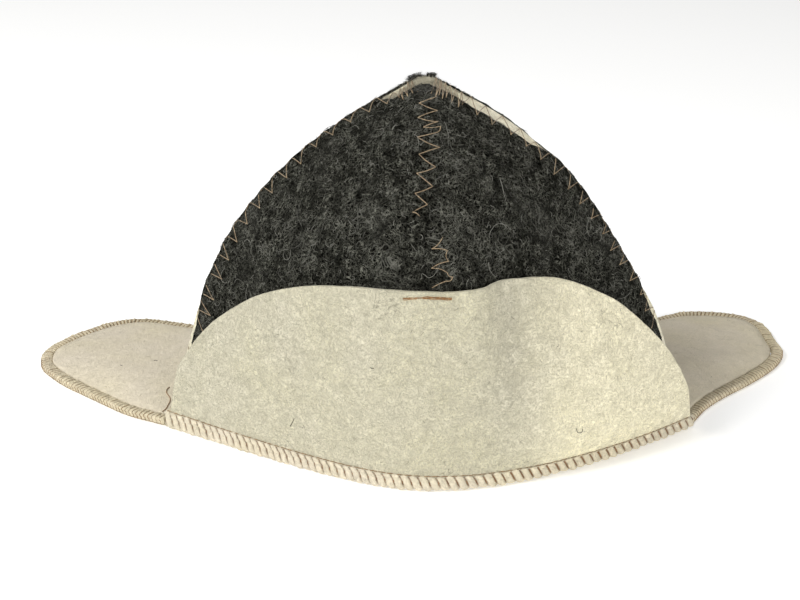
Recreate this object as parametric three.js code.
import * as THREE from 'three';

// Felt sauna hat, standing on its hem. Millimetres, +Z up, the front looks along -Y.
// Four two-layer felt gores, a turned-up front flap, and an ear flap round the back,
// all sewn to the hem by a thick overlock edging.

// named sizes

const crownHeight = 173;        // hem line to the point, on the inner face of the lining
const hemHalfWidth = 122;       // from the middle to a side seam, inner face
const crownDepth = 58.5;        // from the middle to the front seam, inner face
const liningThickness = 3.0;    // cream felt, inner layer of a gore
const outerThickness = 1.7;     // dark grey felt, outer layer of a gore
const layerGap = 0.3;           // between two layers that are sewn together
const seamGap = 0.15;           // each gore stops this far short of a seam

const bandHeight = 6.2;         // overlock bite on the hem
const bandRound = 1.3;          // how far the outer corners of the band are rounded
const bandInset = 0.4;          // the band wraps this far inside the lining

const flapThickness = 3.2;      // cream felt of the front flap
const flapGap = 0.4;            // flap to crown where the bar tack holds it
const flapHeight = 102;         // from the hem line to the flap's top edge

const earThickness = 3.2;       // cream felt of the ear flap
const earBite = 5.5;            // overlock bite round the ear flap
const earEdgeThickness = 4.4;   // the ear flap's edge with its stitches
const earRound = 1.4;           // how far the outer corners of that edge are rounded
const earReach = 73.3;          // from beside a side seam out to the tip of an ear
const earDepth = 141;           // from the side seams back to the far edge
const earDome = 5;              // the middle of an ear stands this much off the table
const earLift = 0.6;            // underside of the felt beside its edging

const outerInside = liningThickness + layerGap;
const crownThickness = outerInside + outerThickness;
const goreBottom = bandHeight + layerGap;
const earRoot = hemHalfWidth * 1.055;   // where an ear starts, just outside the side seam

// short tables

// rise: share of crownHeight; width: share of hemHalfWidth; front and behind: depth in
// front of and behind the side seams, as shares of crownDepth; lean: sideways shift, and
// back: backward shift of the side seams, both as shares of hemHalfWidth
const CROWN = [
  { rise: 0.000, width: 1.010, front: 1.090, behind: 0.850, lean: 0.003, back: 0.045 },
  { rise: 0.087, width: 0.983, front: 1.100, behind: 0.910, lean: 0.000, back: 0.035 },
  { rise: 0.173, width: 0.952, front: 1.112, behind: 1.000, lean: -0.004, back: 0.020 },
  { rise: 0.260, width: 0.915, front: 1.135, behind: 1.075, lean: -0.008, back: 0.007 },
  { rise: 0.347, width: 0.879, front: 1.160, behind: 1.135, lean: -0.010, back: 0.000 },
  { rise: 0.434, width: 0.819, front: 1.175, behind: 1.175, lean: -0.026, back: 0.000 },
  { rise: 0.520, width: 0.747, front: 1.179, behind: 1.179, lean: -0.037, back: 0.000 },
  { rise: 0.607, width: 0.681, front: 1.145, behind: 1.145, lean: -0.034, back: 0.000 },
  { rise: 0.694, width: 0.587, front: 1.077, behind: 1.077, lean: -0.024, back: 0.000 },
  { rise: 0.780, width: 0.471, front: 0.949, behind: 0.949, lean: -0.020, back: 0.000 },
  { rise: 0.855, width: 0.351, front: 0.769, behind: 0.769, lean: -0.015, back: 0.000 },
  { rise: 0.913, width: 0.224, front: 0.581, behind: 0.581, lean: -0.015, back: 0.000 },
  { rise: 0.954, width: 0.117, front: 0.385, behind: 0.385, lean: -0.018, back: 0.000 },
  { rise: 0.983, width: 0.042, front: 0.180, behind: 0.180, lean: -0.020, back: 0.000 },
  { rise: 1.000, width: 0.012, front: 0.030, behind: 0.030, lean: -0.022, back: 0.000 },
];

// how far each front quarter is pinched from a round bow towards a V, by height
const PINCH = [
  { rise: 0.00, left: 1.20, right: 0.45, back: 0.35 },
  { rise: 0.20, left: 0.70, right: 0.50, back: 0.35 },
  { rise: 0.55, left: 0.15, right: 0.85, back: 0.30 },
  { rise: 0.80, left: 0.25, right: 0.50, back: 0.30 },
  { rise: 1.00, left: 0.30, right: 0.30, back: 0.30 },
];
const pinchNose = 0.35;         // roundness of the V's nose, as a share of the half width

// top edge of the front flap. across: share of the half width, - is the wearer's right;
// rise: share of flapHeight
const FLAP_TOP = [
  { across: -1.000, rise: 0.310 },
  { across: -0.975, rise: 0.410 },
  { across: -0.945, rise: 0.501 },
  { across: -0.905, rise: 0.578 },
  { across: -0.856, rise: 0.666 },
  { across: -0.795, rise: 0.741 },
  { across: -0.728, rise: 0.809 },
  { across: -0.652, rise: 0.861 },
  { across: -0.566, rise: 0.908 },
  { across: -0.478, rise: 0.943 },
  { across: -0.301, rise: 0.976 },
  { across: -0.089, rise: 0.987 },
  { across: 0.085, rise: 0.981 },
  { across: 0.230, rise: 0.977 },
  { across: 0.338, rise: 0.982 },
  { across: 0.419, rise: 0.971 },
  { across: 0.508, rise: 0.947 },
  { across: 0.626, rise: 0.900 },
  { across: 0.742, rise: 0.814 },
  { across: 0.790, rise: 0.762 },
  { across: 0.831, rise: 0.714 },
  { across: 0.859, rise: 0.652 },
  { across: 0.889, rise: 0.596 },
  { across: 0.920, rise: 0.535 },
  { across: 0.953, rise: 0.455 },
  { across: 0.975, rise: 0.350 },
  { across: 1.000, rise: 0.215 },
];

// how far the flap's top edge stands off the crown, as shares of flapThickness:
// it is tacked in the middle, bellies out beside the tack and falls back in a dent
const FLAP_WAVE = [
  { across: -1.00, off: 0.00 },
  { across: -0.70, off: 0.35 },
  { across: -0.35, off: 0.50 },
  { across: -0.15, off: 0.18 },
  { across: 0.00, off: 0.03 },
  { across: 0.11, off: 0.15 },
  { across: 0.22, off: 0.85 },
  { across: 0.32, off: 1.25 },
  { across: 0.42, off: 0.75 },
  { across: 0.52, off: 0.08 },
  { across: 0.80, off: 0.08 },
  { across: 1.00, off: 0.00 },
];

// outer edge of the ear flap. out: 0 at the hat's middle, rootShare at the ear's root beside
// the side seam, 1 at the tip, - is the photo's left; back: share of earDepth, from the side
// seams
const rootShare = 0.637;        // where the ear's root is, as a share of the way to the tip
const EAR_EDGE = [
  { out: -0.640, back: 0.012 },
  { out: -0.738, back: 0.092 },
  { out: -0.806, back: 0.180 },
  { out: -0.870, back: 0.267 },
  { out: -0.922, back: 0.340 },
  { out: -0.964, back: 0.417 },
  { out: -0.993, back: 0.486 },
  { out: -1.003, back: 0.565 },
  { out: -0.998, back: 0.628 },
  { out: -0.977, back: 0.690 },
  { out: -0.943, back: 0.768 },
  { out: -0.905, back: 0.828 },
  { out: -0.867, back: 0.878 },
  { out: -0.820, back: 0.916 },
  { out: -0.770, back: 0.928 },
  { out: -0.725, back: 0.916 },
  { out: -0.640, back: 0.873 },
  { out: -0.500, back: 0.815 },
  { out: -0.280, back: 0.765 },
  { out: 0.000, back: 0.750 },
  { out: 0.280, back: 0.785 },
  { out: 0.500, back: 0.862 },
  { out: 0.646, back: 0.948 },
  { out: 0.675, back: 0.979 },
  { out: 0.747, back: 1.004 },
  { out: 0.815, back: 0.990 },
  { out: 0.865, back: 0.962 },
  { out: 0.898, back: 0.918 },
  { out: 0.922, back: 0.840 },
  { out: 0.930, back: 0.699 },
  { out: 0.938, back: 0.640 },
  { out: 0.922, back: 0.551 },
  { out: 0.890, back: 0.473 },
  { out: 0.850, back: 0.400 },
  { out: 0.800, back: 0.321 },
  { out: 0.738, back: 0.230 },
  { out: 0.682, back: 0.130 },
  { out: 0.640, back: 0.020 },
];

// small maths

const feltGrey = new THREE.MeshStandardMaterial({ color: 0x37372f, roughness: 0.95 });
const feltCream = new THREE.MeshStandardMaterial({ color: 0xd8d0b8, roughness: 0.95 });
const edgingCream = new THREE.MeshStandardMaterial({ color: 0xc9bb9c, roughness: 0.9 });

// smooth value of one column of a table, read at x of its first column
function read(table, first, column, x) {
  const n = table.length;
  const at = Math.min(Math.max(x, table[0][first]), table[n - 1][first]);
  let i = 0;
  while (i < n - 2 && table[i + 1][first] < at) {
    i += 1;
  }
  const slope = (k) => {
    const a = table[Math.max(k - 1, 0)];
    const b = table[Math.min(k + 1, n - 1)];
    return (b[column] - a[column]) / (b[first] - a[first]);
  };
  const span = table[i + 1][first] - table[i][first];
  const t = (at - table[i][first]) / span;
  const s = 1 - t;
  return (1 + 2 * t) * s * s * table[i][column]
    + t * s * s * span * slope(i)
    + t * t * (3 - 2 * t) * table[i + 1][column]
    - t * t * s * span * slope(i + 1);
}

function range(count, from, to) {
  return Array.from({ length: count + 1 }, (_, i) => from + ((to - from) * i) / count);
}

// a closed solid between two grids of points, front[i][j] and back[i][j]
function slab(name, front, back, material) {
  const rows = front.length;
  const cols = front[0].length;
  const points = [...front.flat(), ...back.flat()];
  const id = (side, i, j) => side * rows * cols + i * cols + j;
  const faces = [];
  const quad = (a, b, c, d) => faces.push([a, b, c], [a, c, d]);
  for (let i = 0; i < rows - 1; i += 1) {
    for (let j = 0; j < cols - 1; j += 1) {
      quad(id(0, i, j), id(0, i + 1, j), id(0, i + 1, j + 1), id(0, i, j + 1));
      quad(id(1, i, j), id(1, i, j + 1), id(1, i + 1, j + 1), id(1, i + 1, j));
    }
  }
  for (let i = 0; i < rows - 1; i += 1) {
    quad(id(0, i, 0), id(1, i, 0), id(1, i + 1, 0), id(0, i + 1, 0));
    quad(id(0, i, cols - 1), id(0, i + 1, cols - 1), id(1, i + 1, cols - 1), id(1, i, cols - 1));
  }
  for (let j = 0; j < cols - 1; j += 1) {
    quad(id(0, 0, j), id(0, 0, j + 1), id(1, 0, j + 1), id(1, 0, j));
    quad(id(0, rows - 1, j), id(1, rows - 1, j), id(1, rows - 1, j + 1), id(0, rows - 1, j + 1));
  }
  return solid(name, points, faces, material);
}

// a closed solid along a line of equal rings of points, with a flat cap at each end
function strip(name, rings, material) {
  const count = rings[0].length;
  const points = rings.flat();
  const faces = [];
  for (let i = 0; i < rings.length - 1; i += 1) {
    for (let j = 0; j < count; j += 1) {
      const k = (j + 1) % count;
      const a = i * count;
      const b = a + count;
      faces.push([a + j, a + k, b + k], [a + j, b + k, b + j]);
    }
  }
  const last = (rings.length - 1) * count;
  for (let j = 1; j < count - 1; j += 1) {
    faces.push([0, j + 1, j], [last, last + j, last + j + 1]);
  }
  return solid(name, points, faces, material);
}

// the mesh of a solid, with its faces turned outwards
function solid(name, points, faces, material) {
  let volume = 0;
  for (const [a, b, c] of faces) {
    volume += points[a].dot(new THREE.Vector3().crossVectors(points[b], points[c]));
  }
  const index = faces.flatMap(([a, b, c]) => (volume < 0 ? [a, c, b] : [a, b, c]));
  const geometry = new THREE.BufferGeometry();
  geometry.setAttribute('position', new THREE.Float32BufferAttribute(
    points.flatMap((p) => [p.x, p.y, p.z]), 3));
  geometry.setIndex(index);
  geometry.computeVertexNormals();
  const mesh = new THREE.Mesh(geometry, material);
  mesh.name = name;
  return mesh;
}

// the crown's shape

// bow of a section: 0 at the middle seam, 1 at the side seam
function bow(q, pinch) {
  const nose = (s) => Math.sqrt(s * s + pinchNose * pinchNose) - pinchNose;
  return (1 - pinch) * q * q + (pinch * nose(q)) / nose(1);
}

// a point of the lining's inner face. side: -1 left, 1 right; face: -1 front, 1 back;
// q: share of the way from the middle seam to the side seam; z: height
function crownPoint(side, face, q, z) {
  const rise = z / crownHeight;
  const width = hemHalfWidth * read(CROWN, 'rise', 'width', rise);
  const depth = crownDepth * read(CROWN, 'rise', face > 0 ? 'behind' : 'front', rise);
  const lean = hemHalfWidth * read(CROWN, 'rise', 'lean', rise);
  const back = hemHalfWidth * read(CROWN, 'rise', 'back', rise);
  const quarter = side < 0 ? 'left' : 'right';
  const pinch = read(PINCH, 'rise', face > 0 ? 'back' : quarter, rise);
  const along = face * depth * (1 - bow(q, pinch));
  return new THREE.Vector3(lean + side * width * q, back + along, z);
}

// outward direction of the crown there
function crownNormal(side, face, q, z) {
  const dq = 0.002;
  const dz = 0.1;
  const across = crownPoint(side, face, Math.min(q + dq, 1), z)
    .sub(crownPoint(side, face, Math.max(q - dq, 0), z));
  const up = crownPoint(side, face, q, Math.min(z + dz, crownHeight))
    .sub(crownPoint(side, face, q, Math.max(z - dz, 0)));
  const normal = across.cross(up).normalize();
  return normal.y * face < 0 ? normal.negate() : normal;
}

function crownOffset(side, face, q, z, distance) {
  const p = crownPoint(side, face, q, z)
    .addScaledVector(crownNormal(side, face, q, z), distance);
  // the lowest row is cut level, where the felt goes into the edging
  if (z <= goreBottom) {
    p.z = z;
  }
  return p;
}

// the same on the hem line, which runs from the left side seam (-1) to the right one (1)
function hemOffset(face, share, distance) {
  const side = share < 0 ? -1 : 1;
  return crownOffset(side, face, Math.abs(share), goreBottom, distance);
}

// gores

const hat = new THREE.Group();
hat.name = 'sauna_hat';

const goreRows = 15;
const goreCols = 9;

// heights of a gore's rows, closer together towards the point
function goreHeight(v) {
  return goreBottom + (crownHeight - goreBottom) * (1 - (1 - v) ** 1.35);
}

function gore(name, side, face, inside, outside, material) {
  const layer = (distance) => range(goreRows, 0, 1).map((v) => {
    const z = goreHeight(v);
    const width = hemHalfWidth * read(CROWN, 'rise', 'width', z / crownHeight);
    const gap = Math.min(seamGap / width, 0.2);
    return range(goreCols, gap, 1 - gap).map((q) => crownOffset(side, face, q, z, distance));
  });
  hat.add(slab(name, layer(outside), layer(inside), material));
}

for (const [end, face] of [['front', -1], ['back', 1]]) {
  for (const [hand, side] of [['left', -1], ['right', 1]]) {
    gore(`crown_${end}_${hand}`, side, face, outerInside, crownThickness, feltGrey);
    gore(`lining_${end}_${hand}`, side, face, 0, liningThickness, feltCream);
  }
}

// front flap

const flapInside = crownThickness + flapGap;
const flapCols = 44;
const flapRows = 8;

function flapGrid(depth) {
  return range(flapCols, -1, 1).map((step) => {
    // columns stand closer together where the top edge is steep
    const across = 0.997 * Math.sign(step) * (1 - (1 - Math.abs(step)) ** 1.5);
    const top = flapHeight * read(FLAP_TOP, 'across', 'rise', across);
    const wave = flapThickness * read(FLAP_WAVE, 'across', 'off', across);
    return range(flapRows, goreBottom, top).map((z) => {
      const loose = wave * Math.min(z / flapHeight, 1) ** 1.5;
      return crownOffset(Math.sign(across) || 1, -1, Math.abs(across), z,
        flapInside + loose + depth);
    });
  });
}

hat.add(slab('front_flap', flapGrid(flapThickness), flapGrid(0), feltCream));

// hem edgings

const frontBand = flapInside + flapThickness + bandInset;
const backBand = crownThickness + bandInset;

// section of a hem edging: out is the distance from the lining's inner face
function bandRing(face, share, thickness) {
  const r = bandRound;
  const outline = [
    { out: -bandInset, z: r / 2 },
    { out: -bandInset + r / 2, z: 0 },
    { out: thickness - r, z: 0 },
    { out: thickness - r * 0.3, z: r * 0.3 },
    { out: thickness, z: r },
    { out: thickness, z: bandHeight - r },
    { out: thickness - r * 0.3, z: bandHeight - r * 0.3 },
    { out: thickness - r, z: bandHeight },
    { out: -bandInset, z: bandHeight },
  ];
  return outline.map(({ out, z }) => {
    const p = hemOffset(face, share, out);
    p.z = z;
    return p;
  });
}

function band(name, face, thickness) {
  // the two bands meet at the side seams, and their inner corners stay apart there
  const end = 1 - (seamGap + 2 * bandInset) / hemHalfWidth;
  const rings = range(36, -end, end).map((share) => bandRing(face, share, thickness));
  hat.add(strip(name, rings, edgingCream));
}

band('front_hem_edging', -1, frontBand);
band('back_hem_edging', 1, backBand);

// ear flap

// distance from the middle for a value of the table's out column
function earAcross(out) {
  const share = Math.abs(out);
  const within = Math.min(share, rootShare) / rootShare;
  const beyond = Math.max(share - rootShare, 0) / (1 - rootShare);
  return Math.sign(out) * (earRoot * within + earReach * beyond);
}

const earLine = new THREE.CatmullRomCurve3(
  EAR_EDGE.map(({ out, back }) => new THREE.Vector3(earAcross(out), back * earDepth, 0)),
  false, 'centripetal');

// a point this far inside the ear flap's outer edge
function earInset(t, inset) {
  const p = earLine.getPointAt(t);
  const along = earLine.getTangentAt(t);
  return new THREE.Vector3(p.x + along.y * inset, p.y - along.x * inset, 0);
}

const earSteps = 78;

// edging round the outer edge
function earRing(t) {
  const e = earEdgeThickness;
  const outline = [
    { inset: 0, z: e * 0.5 },
    { inset: earRound * 0.25, z: e * 0.22 },
    { inset: earRound, z: 0 },
    { inset: earBite, z: 0 },
    { inset: earBite, z: e },
    { inset: earRound, z: e },
    { inset: earRound * 0.25, z: e * 0.78 },
  ];
  return outline.map(({ inset, z }) => {
    const p = earInset(t, inset);
    p.z = z;
    return p;
  });
}

hat.add(strip('ear_flap_edging', range(earSteps, 0, 1).map(earRing), edgingCream));

// where a line from the hat's middle through p crosses the back of the hem
const earInside = backBand + layerGap;

function hemTowards(p) {
  const turn = (q) => Math.atan2(q.y, q.x);
  const wanted = turn(p);
  let low = -1;
  let high = 1;
  for (let i = 0; i < 40; i += 1) {
    const mid = (low + high) / 2;
    if (turn(hemOffset(1, mid, earInside)) > wanted) {
      low = mid;
    } else {
      high = mid;
    }
  }
  return hemOffset(1, low, earInside);
}

const earRows = 6;

function earGrid(height) {
  return range(earSteps, 0, 1).map((t) => {
    const outer = earInset(t, earBite + layerGap);
    const inner = hemTowards(outer);
    const wide = Math.min(outer.distanceTo(inner) / (earReach * 1.4), 1);
    return range(earRows, 0, 1).map((s) => {
      const p = inner.clone().lerp(outer, s);
      p.z = earLift + height + earDome * wide * 4 * s * (1 - s);
      return p;
    });
  });
}

hat.add(slab('ear_flap', earGrid(earThickness), earGrid(0), feltCream));

// origin

// the origin is the middle of the footprint, at the level of the table
const box = new THREE.Box3().setFromObject(hat);
const middle = box.getCenter(new THREE.Vector3());
for (const piece of hat.children) {
  piece.geometry.translate(-middle.x, -middle.y, -box.min.z);
}

export default hat;
